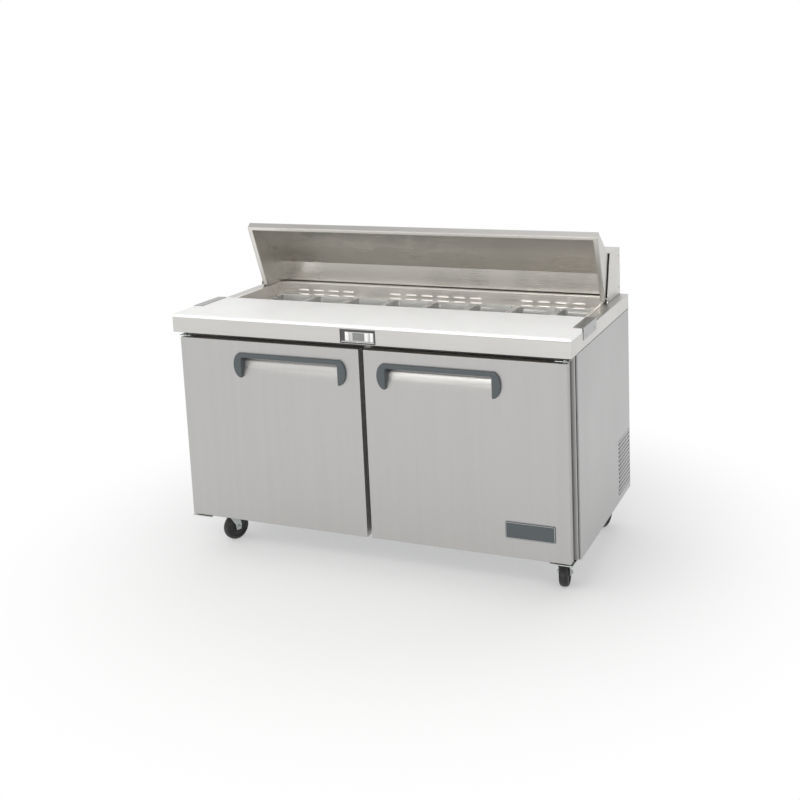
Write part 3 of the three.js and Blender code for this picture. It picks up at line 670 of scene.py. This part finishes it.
def well_louvres():
    """Two rows of air louvres high on the rear wall of the pan well, in groups of 4, 6 and 4."""
    length, pitch = 50 * MM, 70 * MM
    bm = bmesh.new()
    for middle, count in ((-492 * MM, 4), (0.0, 6), (492 * MM, 4)):
        for column in range(count):
            x = middle + (column - (count - 1) / 2) * pitch
            for drop in (31 * MM, 49 * MM):
                louvre(bm, (x, WELL_REAR, TOP - drop), -Y, Z, length, 9 * MM, 4.5 * MM)
    piece("well_louvres", bm, "cabinet", "liner_steel", look=LIT_WELL_LOOK)


def board_clip_screws():
    """Two screws through each clip's outer flap."""
    for side, sign in SIDES.items():
        low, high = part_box(f"board_clip_{side}")
        outer = high.x if sign > 0 else low.x
        reach = high.y - low.y
        places = [(outer, low.y + share * reach, TOP - 15 * MM) for share in (0.16, 0.84)]
        screws(f"board_clip_screws_{side}", places, X * sign, 4.0, "cabinet")


def pan(node):
    """A moulded sixth-size pan: rounded corners, tapered walls and a rolled rim."""
    low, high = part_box(node)
    middle = (low + high) / 2
    half_x, half_y = (high.x - low.x) / 2, (high.y - low.y) / 2
    rim, taper, wall = 9 * MM, 8 * MM, 2.5 * MM
    floor, top = low.z, high.z
    body_x, body_y = half_x - rim, half_y - rim

    def ring(shrink, radius, height):
        shape = rounded_rectangle(body_x - shrink, body_y - shrink, radius * MM)
        return [(middle.x + u, middle.y + v, height) for u, v in shape]

    under = top - 3 * MM
    rings = [
        ring(taper + 6 * MM, 10, floor), ring(taper + 2 * MM, 13, floor + 1.6 * MM),
        ring(taper, 15, floor + 6 * MM), ring(taper * 0.4, 18, floor + 55 * MM),
        ring(1.0 * MM, 20, under - 5 * MM), ring(0.0, 20, under),
        ring(-rim + 1 * MM, 24, under), ring(-rim, 25, under + 1.2 * MM),
        ring(-rim, 25, top - 1.2 * MM), ring(-rim + 1 * MM, 24, top),
        ring(1.6 * MM, 19, top), ring(wall + 0.6 * MM, 18, top - 1.8 * MM),
        ring(taper * 0.4 + wall, 16, floor + 55 * MM), ring(taper + wall, 13, floor + 9 * MM),
        ring(taper + wall + 2 * MM, 11, floor + 4.4 * MM), ring(taper + 9 * MM, 8, floor + wall),
    ]
    bm = bmesh.new()
    loft(bm, rings)
    piece(node + "_moulded", bm, BODY_OF[node], SLOT_OF[node], (node,))


well_louvres()
board_clip_screws()
for row in ("front", "rear"):
    for column in range(1, 9):
        pan(f"pan_{row}_{column}")

# ---------------------------------------------------------------- rear housing and lid

refined("rear_housing", outer=1.6, fine=0.6)
refined("lid_shell", outer=3.0, fine=0.6)
refined("lid_liner", outer=1.2, fine=0.6)


def housing_screws():
    """Screws along the back of the housing and down the rear of each cheek."""
    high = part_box("rear_housing")[1]
    rear = [(x * (high.x - 18 * MM), high.y, high.z - 14 * MM) for x in (-1, -0.5, 0, 0.5, 1)]
    screws("housing_rear_screws", rear, Y, 4.0, "cabinet")
    for side, sign in SIDES.items():
        cheek = [(sign * high.x, high.y - 20 * MM, TOP + rise * MM) for rise in (30, 150)]
        screws(f"housing_cheek_screws_{side}", cheek, X * sign, 3.6, "cabinet")


def lid_pivots():
    """The shouldered pivot stud at each end of the lid, seen beside the well's rear corners."""
    pivot = Vector(JOINTS["lid_hinge"]["pos_m"])
    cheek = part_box("rear_housing")[1].x
    profile = in_mm([(0, 0), (9, 0), (9.6, 0.6), (9.6, 1.8), (9, 2.4), (5.4, 2.4), (5.4, 4.6),
                     (4.2, 6.2), (2.2, 7.0), (0, 7.2)])
    for side, sign in SIDES.items():
        bm = bmesh.new()
        lathe(bm, profile, (sign * cheek, pivot.y, pivot.z), X * sign, 24)
        piece(f"lid_pivot_stud_{side}", bm, "cabinet", "zinc_plate")


housing_screws()
lid_pivots()

# ---------------------------------------------------------------- cabinet

for node in ("side_panel_left", "side_panel_right"):
    refined(node, outer=1.8, fine=0.4)
for node in ("back_panel", "base_panel", "inner_liner", "front_frame"):
    refined(node, outer=1.2, fine=0.5)


def side_louvres():
    """Hoods over the slots of the machine compartment on the right, and a black strip under each hood as painted
    shadow.
    """
    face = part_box("side_panel_right")[1].x
    count, pitch, first = 13, 16.4 * MM, 187 * MM
    slot_front, slot_rear = FRONT + 578 * MM, FRONT + 751 * MM
    hoods, painted_shadows = bmesh.new(), bmesh.new()
    for row in range(count):
        z = first + row * pitch
        place = (face, (slot_front + slot_rear) / 2, z - 1 * MM)
        louvre(hoods, place, X, Z, slot_rear - slot_front, 7.5 * MM, 3.0 * MM)
        # A black strip on the panel just under each hood: painted shadow in the slot's mouth.
        block(painted_shadows, (face - 0.6 * MM, slot_front + 5 * MM, z - 9 * MM),
              (face + 0.5 * MM, slot_rear - 2 * MM, z - 0.5 * MM), 0.3, 1)
    piece("side_louvre_hoods", hoods, "cabinet", "side_steel")
    piece("side_louvre_painted_shadows", painted_shadows, "cabinet", "bezel_plastic")


def joint_dark_strips():
    """A dark strip along each joint where a side panel meets the worktop frame and the front frame."""
    frame_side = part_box("front_frame")[1].x
    for side, sign in SIDES.items():
        low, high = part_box(f"side_panel_{side}")
        outer = high.x if sign > 0 else -low.x
        bm = bmesh.new()
        for (x0, y0, z0), (x1, y1, z1) in (
                ((outer - 2 * MM, low.y, high.z - 1.6 * MM), (outer + 0.3 * MM, high.y, high.z)),
                ((frame_side - 0.5 * MM, low.y - 6.5 * MM, low.z + 4 * MM),
                 (frame_side + 0.6 * MM, low.y - 0.2 * MM, high.z - 1.6 * MM))):
            block(bm, (sign * x0, y0, z0), (sign * x1, y1, z1), 0.2, 1)
        piece(f"side_panel_dark_strip_{side}", bm, "cabinet", "gasket_rubber")


def back_details():
    """Screws round the rear panel and its machine grille, in columns of four."""
    low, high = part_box("back_panel")
    edge = 14 * MM
    grille_y = FRONT + 747 * MM
    panel_places, grille_places = [], []
    for k in range(6):
        x = low.x + edge + k * (high.x - low.x - 2 * edge) / 5
        panel_places += [(x, high.y, z) for z in (high.z - edge, 418 * MM)]
        grille_places += [(x, grille_y, z) for z in (166 * MM, 388 * MM)]
    screws("back_panel_screws", panel_places, Y, 4.0, "cabinet")
    screws("grille_screws", grille_places, Y, 3.6, "cabinet")


side_louvres()
joint_dark_strips()
back_details()

# ---------------------------------------------------------------- controller

refined("controller_housing", outer=0.8, fine=0.3)


def controller_face():
    """The silver plate behind the dark bezel, its display window, and a small status lamp."""
    low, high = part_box("controller_housing")
    front = low.y + 1.0 * MM
    inset = 4 * MM
    left_key, right_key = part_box("controller_key_left"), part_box("controller_key_right")
    gap = 1.2 * MM
    bm = bmesh.new()
    block(bm, (left_key[1].x + gap, front, left_key[0].z), (right_key[0].x - gap, front + 1 * MM,
                                                            left_key[1].z), 0.3)
    block(bm, (low.x + inset, front + 0.2 * MM, low.z + inset),
          (high.x - inset, front + 1 * MM, left_key[0].z - gap), 0.3)
    piece("controller_face_plate", bm, "cabinet", "fin_aluminium")
    window_low = Vector((-20.5 * MM, front - 0.6 * MM, left_key[0].z + 2 * MM))
    window_high = Vector((24 * MM, front + 0.4 * MM, left_key[1].z - 2 * MM))
    bm = bmesh.new()
    block(bm, window_low, window_high, 0.4)
    piece("controller_display", bm, "cabinet", "bezel_plastic", look=DISPLAY_LOOK)
    bm = bmesh.new()
    block(bm, (27 * MM, front - 0.4 * MM, window_low.z), (39 * MM, front + 0.4 * MM, window_high.z),
          0.4)
    piece("controller_strip", bm, "cabinet", "key_plastic")
    bm = bmesh.new()
    lathe(bm, [(0, 0), (2.2 * MM, 0), (2.2 * MM, 0.5 * MM), (1.4 * MM, 1.1 * MM), (0, 1.3 * MM)],
          ((low.x + high.x) / 2, front + 0.2 * MM, low.z + 6 * MM), -Y, 20)
    piece("controller_lamp", bm, "cabinet", "key_plastic")


def display_look():
    """A smoky window over faint rows."""
    look = Look("display_window", 0.16, IOR=1.5, Coat_Weight=0.6, Coat_Roughness=0.05)
    rows = look.noise((30.0, 30.0, 1400.0), 1.0)
    look.color(look.mix(look.spread(rows, 0.0, 1.0), (0.17, 0.175, 0.17), (0.22, 0.225, 0.22)))
    look.roughness(look.spread(look.noise(60.0, 3.0), 0.12, 0.24))
    return look.material


def controller_keys():
    """Two columns of keys: each cap has a raised pad at its top and its bottom."""
    for side in SIDES:
        node = f"controller_key_{side}"
        low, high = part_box(node)
        bm = bmesh.new()
        block(bm, low, high, 0.6, 3)
        height = high.z - low.z
        for share in (0.08, 0.55):
            block(bm, (low.x + 1.5 * MM, low.y - 0.5 * MM, low.z + share * height),
                  (high.x - 1.5 * MM, low.y + 0.6 * MM, low.z + (share + 0.37) * height), 0.45, 3)
        piece(node + "_cap", bm, BODY_OF[node], SLOT_OF[node], (node,))


DISPLAY_LOOK = display_look()
controller_face()
controller_keys()

# ---------------------------------------------------------------- doors

HANDLE_END = 30 * MM
HANDLE_BAR = 17.5 * MM
POCKET_DEPTH = 27 * MM
# The cap's dark brown stands partly for the shaded band under the worktop: painted shade.
CAP_AND_SHADE_LOOK = moulded_plastic("door_cap_plastic_and_shade", (0.105, 0.092, 0.078), 0.5)


def door_handle(side):
    """A moulded pull: a straight bar over the pocket that turns down into two half-moon ends."""
    node = f"door_handle_{side}"
    low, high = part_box(node)
    left, right = low.x + HANDLE_END, high.x - HANDLE_END
    rise = high.z - low.z
    middle = (high.z + low.z) / 2
    nose = 5 * MM
    outline = arc((right, middle), (HANDLE_END, rise / 2), 78, -84, 18)
    outline += arc((right + 1.5 * MM, low.z + nose), (nose * 0.8, nose), -80, -180, 5)
    bar_low = high.z - HANDLE_BAR
    inner = 7 * MM
    outline += arc((right - 2.5 * MM - inner, bar_low - inner), inner, 0, 90, 5)
    outline += arc((left + 2.5 * MM + inner, bar_low - inner), inner, 90, 180, 5)
    outline += arc((left - 1.5 * MM, low.z + nose), (nose * 0.8, nose), 0, -100, 5)
    outline += arc((left, middle), (HANDLE_END, rise / 2), 264, 102, 18)
    bm = bmesh.new()
    plate(bm, outline, high.y, low.y)
    bmesh.ops.recalc_face_normals(bm, faces=bm.faces)
    front = [edge for edge in bm.edges
             if all(abs(vert.co.y - low.y) < 0.01 * MM for vert in edge.verts)]
    bmesh.ops.bevel(bm, geom=front, offset=3.2 * MM, segments=4, profile=0.5, affect="EDGES",
                    clamp_overlap=False)
    piece(f"{node}_pull", bm, BODY_OF[node], SLOT_OF[node], (node,))

    # The plastic cheeks that close the pocket's two ends, and the lip behind the bar.
    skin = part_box(f"door_panel_{side}")[0].y
    top = bar_low + 3.6 * MM
    cheek = [(skin + 0.2 * MM, low.z + 1 * MM), (skin + POCKET_DEPTH - 0.4 * MM, top - 20 * MM),
             (skin + POCKET_DEPTH - 0.4 * MM, top), (skin + 0.2 * MM, top)]
    bm = bmesh.new()
    for x in (left + 0.3 * MM, right - 1.9 * MM):
        plate(bm, cheek, x, x + 1.6 * MM, "x")
    block(bm, (left + 2 * MM, skin + 0.2 * MM, bar_low - 2.5 * MM),
          (right - 2 * MM, skin + 9 * MM, bar_low + 3.2 * MM), 1.0)
    piece(f"{node}_pocket_ends", bm, BODY_OF[node], SLOT_OF[node])


def door_gasket(side):
    """A bellows seal: a clip foot, a soft folded wall and a flat magnet strip, mitred at corners."""
    node = f"door_gasket_{side}"
    low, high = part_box(node)
    width, deep = 13 * MM, high.y - low.y
    section = [(0.25, 0.0), (0.75, 0.0), (0.75, 0.12), (1.0, 0.22), (0.9, 0.36), (1.0, 0.5),
               (0.9, 0.64), (1.0, 0.78), (1.0, 0.97), (0.94, 1.0), (0.06, 1.0), (0.0, 0.97),
               (0.0, 0.78), (0.1, 0.64), (0.0, 0.5), (0.1, 0.36), (0.0, 0.22), (0.25, 0.12)]
    rings = []
    for sx, sz in ((0, 0), (1, 0), (1, 1), (0, 1), (0, 0)):
        ring = []
        for u, v in section:
            inset = u * width
            x = high.x - inset if sx else low.x + inset
            z = high.z - inset if sz else low.z + inset
            ring.append((x, low.y + v * deep, z))
        rings.append(ring)
    bm = bmesh.new()
    loft(bm, rings, caps=False)
    bmesh.ops.remove_doubles(bm, verts=bm.verts, dist=0.01 * MM)
    piece(f"{node}_bellows", bm, BODY_OF[node], SLOT_OF[node], (node,))


def door_trim(side):
    """A dark plastic cap along the door's top edge, whose dark brown also stands in for the shaded band under the
    worktop (painted shade), and the screws of its inner liner.
    """
    low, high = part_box(f"door_panel_{side}")
    body = BODY_OF[f"door_panel_{side}"]
    bracket_low, bracket_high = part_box(f"hinge_bracket_upper_{side}")
    edge = 1.5 * MM  # kept clear along the sheet's folds
    start, end = low.x + edge, high.x - edge
    if side == "left":
        start = bracket_high.x + 2 * edge
    else:
        end = bracket_low.x - 2 * edge
    bm = bmesh.new()
    block(bm, (start, low.y + edge, high.z - 0.3 * MM), (end, high.y - edge, high.z + 0.8 * MM),
          0.4)
    piece(f"door_top_cap_and_shade_{side}", bm, body, "handle_plastic", look=CAP_AND_SHADE_LOOK)
    liner_low, liner_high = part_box(f"door_liner_{side}")
    places = []
    for k in range(4):
        z = liner_low.z + 8 * MM + k * (liner_high.z - liner_low.z - 16 * MM) / 3
        places += [(liner_low.x + 7 * MM, liner_high.y, z), (liner_high.x - 7 * MM, liner_high.y, z)]
    screws(f"door_liner_screws_{side}", places, Y, 3.4, body)


for side in SIDES:
    refined(f"door_panel_{side}", outer=3.0, fine=0.8)
    refined(f"door_liner_{side}", outer=2.0, fine=1.6)
    door_handle(side)
    door_gasket(side)
    door_trim(side)


def name_plate():
    """A blank plate: a slate field inside a raised pale border."""
    node = "name_plate_blank"
    low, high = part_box(node)
    body = BODY_OF[node]
    middle = (low + high) / 2
    half_x, half_z = (high.x - low.x) / 2, (high.z - low.z) / 2

    def ring(shrink, radius, y):
        shape = rounded_rectangle(half_x - shrink * MM, half_z - shrink * MM, radius * MM)
        return [(middle.x + u, y, middle.z + v) for u, v in shape]

    bm = bmesh.new()
    loft(bm, [ring(0, 5, high.y), ring(0, 5, low.y + 0.5 * MM), ring(0.5, 4.6, low.y),
              ring(4.2, 2.6, low.y), ring(4.6, 2.4, low.y + 0.7 * MM)])
    piece(f"{node}_field", bm, body, SLOT_OF[node], (node,))
    bm = bmesh.new()
    loft(bm, [ring(2.0, 4, low.y + 0.1 * MM), ring(2.0, 4, low.y - 0.35 * MM),
              ring(3.2, 3.2, low.y - 0.35 * MM), ring(3.2, 3.2, low.y + 0.1 * MM),
              ring(2.0, 4, low.y + 0.1 * MM)], caps=False)
    bmesh.ops.remove_doubles(bm, verts=bm.verts, dist=0.01 * MM)
    piece("name_plate_border", bm, body, "fin_aluminium")


name_plate()

# ---------------------------------------------------------------- hinges

for side in SIDES:
    refined(f"hinge_bracket_upper_{side}", outer=0.9, fine=0.3)
    refined(f"hinge_bracket_lower_{side}", outer=0.9, fine=0.3)


def hinge_details():
    """Bolts under the lower brackets, and a screw and a pin head on top of the upper ones."""
    bracket_top = 852 * MM
    pin_head = in_mm([(0, 0), (7.5, 0), (7.5, 2.2), (6.4, 3.2), (0, 3.6)])
    for side, sign in SIDES.items():
        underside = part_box(f"hinge_bracket_lower_{side}")[0].z
        pin = JOINTS[f"door_{side}_hinge"]["pos_m"]
        bolts = [(sign * x * MM, pin[1] + y * MM, underside)
                 for x, y in ((690, 6), (712, 6), (736, 44))]
        screws(f"lower_hinge_bolts_{side}", bolts, -Z, 5.0, "cabinet")
        screw = (sign * 714 * MM, pin[1] + 2 * MM, bracket_top)
        screws(f"upper_hinge_screw_{side}", [screw], Z, 3.2, "cabinet")
        bm = bmesh.new()
        lathe(bm, pin_head, (pin[0], pin[1], bracket_top), Z, 24)
        piece(f"upper_hinge_pin_head_{side}", bm, "cabinet", "zinc_plate")


hinge_details()

# ---------------------------------------------------------------- shelves


def shelf(side):
    """Epoxy-coated wire shelf: a heavy rim, cross wires underneath and close wires on top."""
    node = f"shelf_{side}"
    low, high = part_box(node)
    rim, wire = 2.5 * MM, 1.6 * MM
    middle = low.z + rim
    corners = [(low.x + rim, low.y + rim), (high.x - rim, low.y + rim),
               (high.x - rim, high.y - rim), (low.x + rim, high.y - rim)]
    bm = bmesh.new()
    for (x0, y0), (x1, y1) in zip(corners, corners[1:] + corners[:1]):
        rod(bm, (x0, y0, middle), (x1, y1, middle), rim, 12)
    for share in (0.25, 0.5, 0.75):
        y = low.y + share * (high.y - low.y)
        rod(bm, (low.x + rim, y, middle), (high.x - rim, y, middle), rim * 0.9, 10)
    count = 24
    for k in range(1, count):
        x = low.x + k * (high.x - low.x) / count
        rod(bm, (x, low.y + 1 * MM, high.z + wire), (x, high.y - 1 * MM, high.z + wire), wire, 8)
    piece(node + "_wires", bm, BODY_OF[node], SLOT_OF[node], (node,))


for side in SIDES:
    shelf(side)

# ---------------------------------------------------------------- refrigeration


def compressor():
    """A welded black shell with a seam, feet on rubber grommets and a terminal cover."""
    low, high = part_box("compressor")
    place = (330 * MM, FRONT + 655 * MM, low.z + 12 * MM)
    shell = in_mm([(0, 0), (50, 0), (58, 3), (64, 12), (66, 24), (66, 60), (69, 62), (69, 66),
                   (66, 68), (66, 90), (63, 104), (54, 119), (40, 129), (22, 135), (0, 137)])
    bm = bmesh.new()
    lathe(bm, shell, place, Z, 48)
    block(bm, (low.x, low.y, low.z + 6 * MM), (high.x, high.y, low.z + 12 * MM), 2.0)
    block(bm, (low.x + 50 * MM, low.y - 2 * MM, low.z + 45 * MM),
          (low.x + 95 * MM, low.y + 32 * MM, low.z + 96 * MM), 5.0, 4)
    piece("compressor_shell", bm, "cabinet", "black_enamel", ("compressor",))
    grommet = in_mm([(0, 0), (10, 0), (11, 2), (8, 4), (11, 6), (8, 9), (8, 15), (0, 16)])
    inset = 14 * MM
    bm = bmesh.new()
    for x in (low.x + inset, high.x - inset):
        for y in (low.y + inset, high.y - inset):
            lathe(bm, grommet, (x, y, low.z), Z, 20)
    piece("compressor_grommets", bm, "cabinet", "gasket_rubber")


def condenser():
    """A fin-and-tube block with a fan motor on a bracket."""
    low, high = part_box("condenser_coil")
    core_low = Vector((620 * MM, FRONT + 572 * MM, low.z))
    core_high = Vector((655 * MM, FRONT + 738 * MM, high.z))
    end_plate = 1.5 * MM
    bm = bmesh.new()
    fins = 46
    for k in range(fins):
        y = core_low.y + 4 * MM + k * (core_high.y - core_low.y - 8 * MM) / (fins - 1)
        block(bm, (core_low.x + 2 * MM, y - 0.35 * MM, core_low.z + 6 * MM),
              (core_high.x - 2 * MM, y + 0.35 * MM, core_high.z - 6 * MM), 0.1, 1)
    for column in range(2):
        for row in range(8):
            x, z = core_low.x + (10 + 15 * column) * MM, core_low.z + (20 + 27 * row) * MM
            rod(bm, (x, core_low.y, z), (x, core_high.y, z), 4 * MM)
    for y in (core_low.y, core_high.y - end_plate):
        block(bm, (core_low.x, y, core_low.z), (core_high.x, y + end_plate, core_high.z), 0.4)

    # The motor, and the upright and foot of its bracket.
    hub = Vector(JOINTS["condenser_fan_spin"]["pos_m"])
    motor = in_mm([(0, 0), (24, 0), (28, 4), (28, 38), (24, 42), (6, 42), (4, 44), (4, 60), (0, 60)])
    lathe(bm, motor, (530 * MM, hub.y, hub.z), X, 32)
    bracket, half = 540 * MM, 12 * MM
    for reach, top in ((bracket + 6 * MM, hub.z), (core_low.x, low.z + 5 * MM)):
        block(bm, (bracket, hub.y - half, low.z), (reach, hub.y + half, top), 0.8)
    piece("condenser_fins", bm, "cabinet", SLOT_OF["condenser_coil"], ("condenser_coil",))


def condenser_fan():
    """Five twisted blades on a domed hub."""
    node = "condenser_fan"
    low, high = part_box(node)
    centre = Vector(JOINTS["condenser_fan_spin"]["pos_m"])
    middle = (low.x + high.x) / 2
    bm = bmesh.new()
    hub = in_mm([(5, -9), (18, -9), (22, -5), (22, 6), (16, 9), (5, 9), (5, -9)])
    lathe(bm, hub, (middle, centre.y, centre.z), X, 28)
    reach = (high.z - low.z) / 2
    root, thick, blades = 20 * MM, 1.2 * MM, 5
    across_blade = (-1, -0.5, 0, 0.5, 1)
    for k in range(blades):
        start = 2 * math.pi * k / blades
        rings = []
        for step in range(9):
            share = step / 8
            radius = root + share * (reach - root - 0.5 * MM)
            half = math.radians(24 - 6 * share)
            pitch = (8.5 - 2.5 * share) * MM
            ring = []
            for face, order in ((thick / 2, across_blade), (-thick / 2, across_blade[::-1])):
                for across in order:
                    angle = start + across * half
                    ring.append((middle + across * pitch + face,
                                 centre.y + radius * math.cos(angle),
                                 centre.z + radius * math.sin(angle)))
            rings.append(ring)
        loft(bm, rings)
    piece(node + "_blades", bm, BODY_OF[node], SLOT_OF[node], (node,))


compressor()
condenser()
condenser_fan()
refined("evaporator_coil", outer=2.0, fine=0.5)

# ---------------------------------------------------------------- casters

CASTER_PLATE = 146 * MM  # height of the caster plates' underside

def caster(corner):
    """Wheel with a rounded tread and a grooved hub, and a pressed fork under a ball race."""
    wheel, fork = f"caster_wheel_{corner}", f"caster_fork_{corner}"
    roll = JOINTS[f"caster_{corner}_roll"]
    axle = Vector(roll["pos_m"])
    axis = Vector(roll["axis"]).normalized()
    tread = (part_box(wheel)[1].z - axle.z) / MM
    profile = [(7, -17), (13, -17), (14.5, -15.5), (15, -13), (17, -12), (33, -11.6), (35.5, -12.4),
               (37, -15.4), (39, -16), (45, -15.8), (tread - 2.6, -12.6), (tread - 0.6, -8),
               (tread, -3), (tread, 3), (tread - 0.6, 8), (tread - 2.6, 12.6), (45, 15.8), (39, 16),
               (37, 15.4), (35.5, 12.4), (33, 11.6), (17, 12), (15, 13), (14.5, 15.5), (13, 17),
               (7, 17), (7, -17)]
    bm = bmesh.new()
    lathe_ring(bm, in_mm(profile), axle, axis, 56)
    piece(wheel + "_tyre", bm, BODY_OF[wheel], SLOT_OF[wheel], (wheel,))
    refined(fork, outer=1.2, fine=0.5)
    bm = bmesh.new()
    axle_end = in_mm([(0, 0), (8.2, 0), (8.2, 4.2), (7.2, 5.0), (4.4, 5.0), (4.4, 6.6),
                      (3.4, 7.4), (0, 7.4)])
    for sign, sides in ((-1, 24), (1, 6)):  # a round head at one end and a nut at the other
        lathe(bm, axle_end, axle + axis * sign * 21 * MM, axis * sign, sides)
    swivel = Vector(JOINTS[f"caster_{corner}_swivel"]["pos_m"])
    race = in_mm([(0, -14.0), (15, -14.0), (24, -13.2), (29.5, -10.4), (30.6, -8.0),
                  (29.5, -6.2), (0, -6.2)])
    lathe(bm, race, (swivel.x, swivel.y, CASTER_PLATE), Z, 40)
    piece(f"caster_race_and_axle_{corner}", bm, BODY_OF[fork], "zinc_plate")


for corner in ("front_left", "front_right", "rear_left", "rear_right"):
    caster(corner)
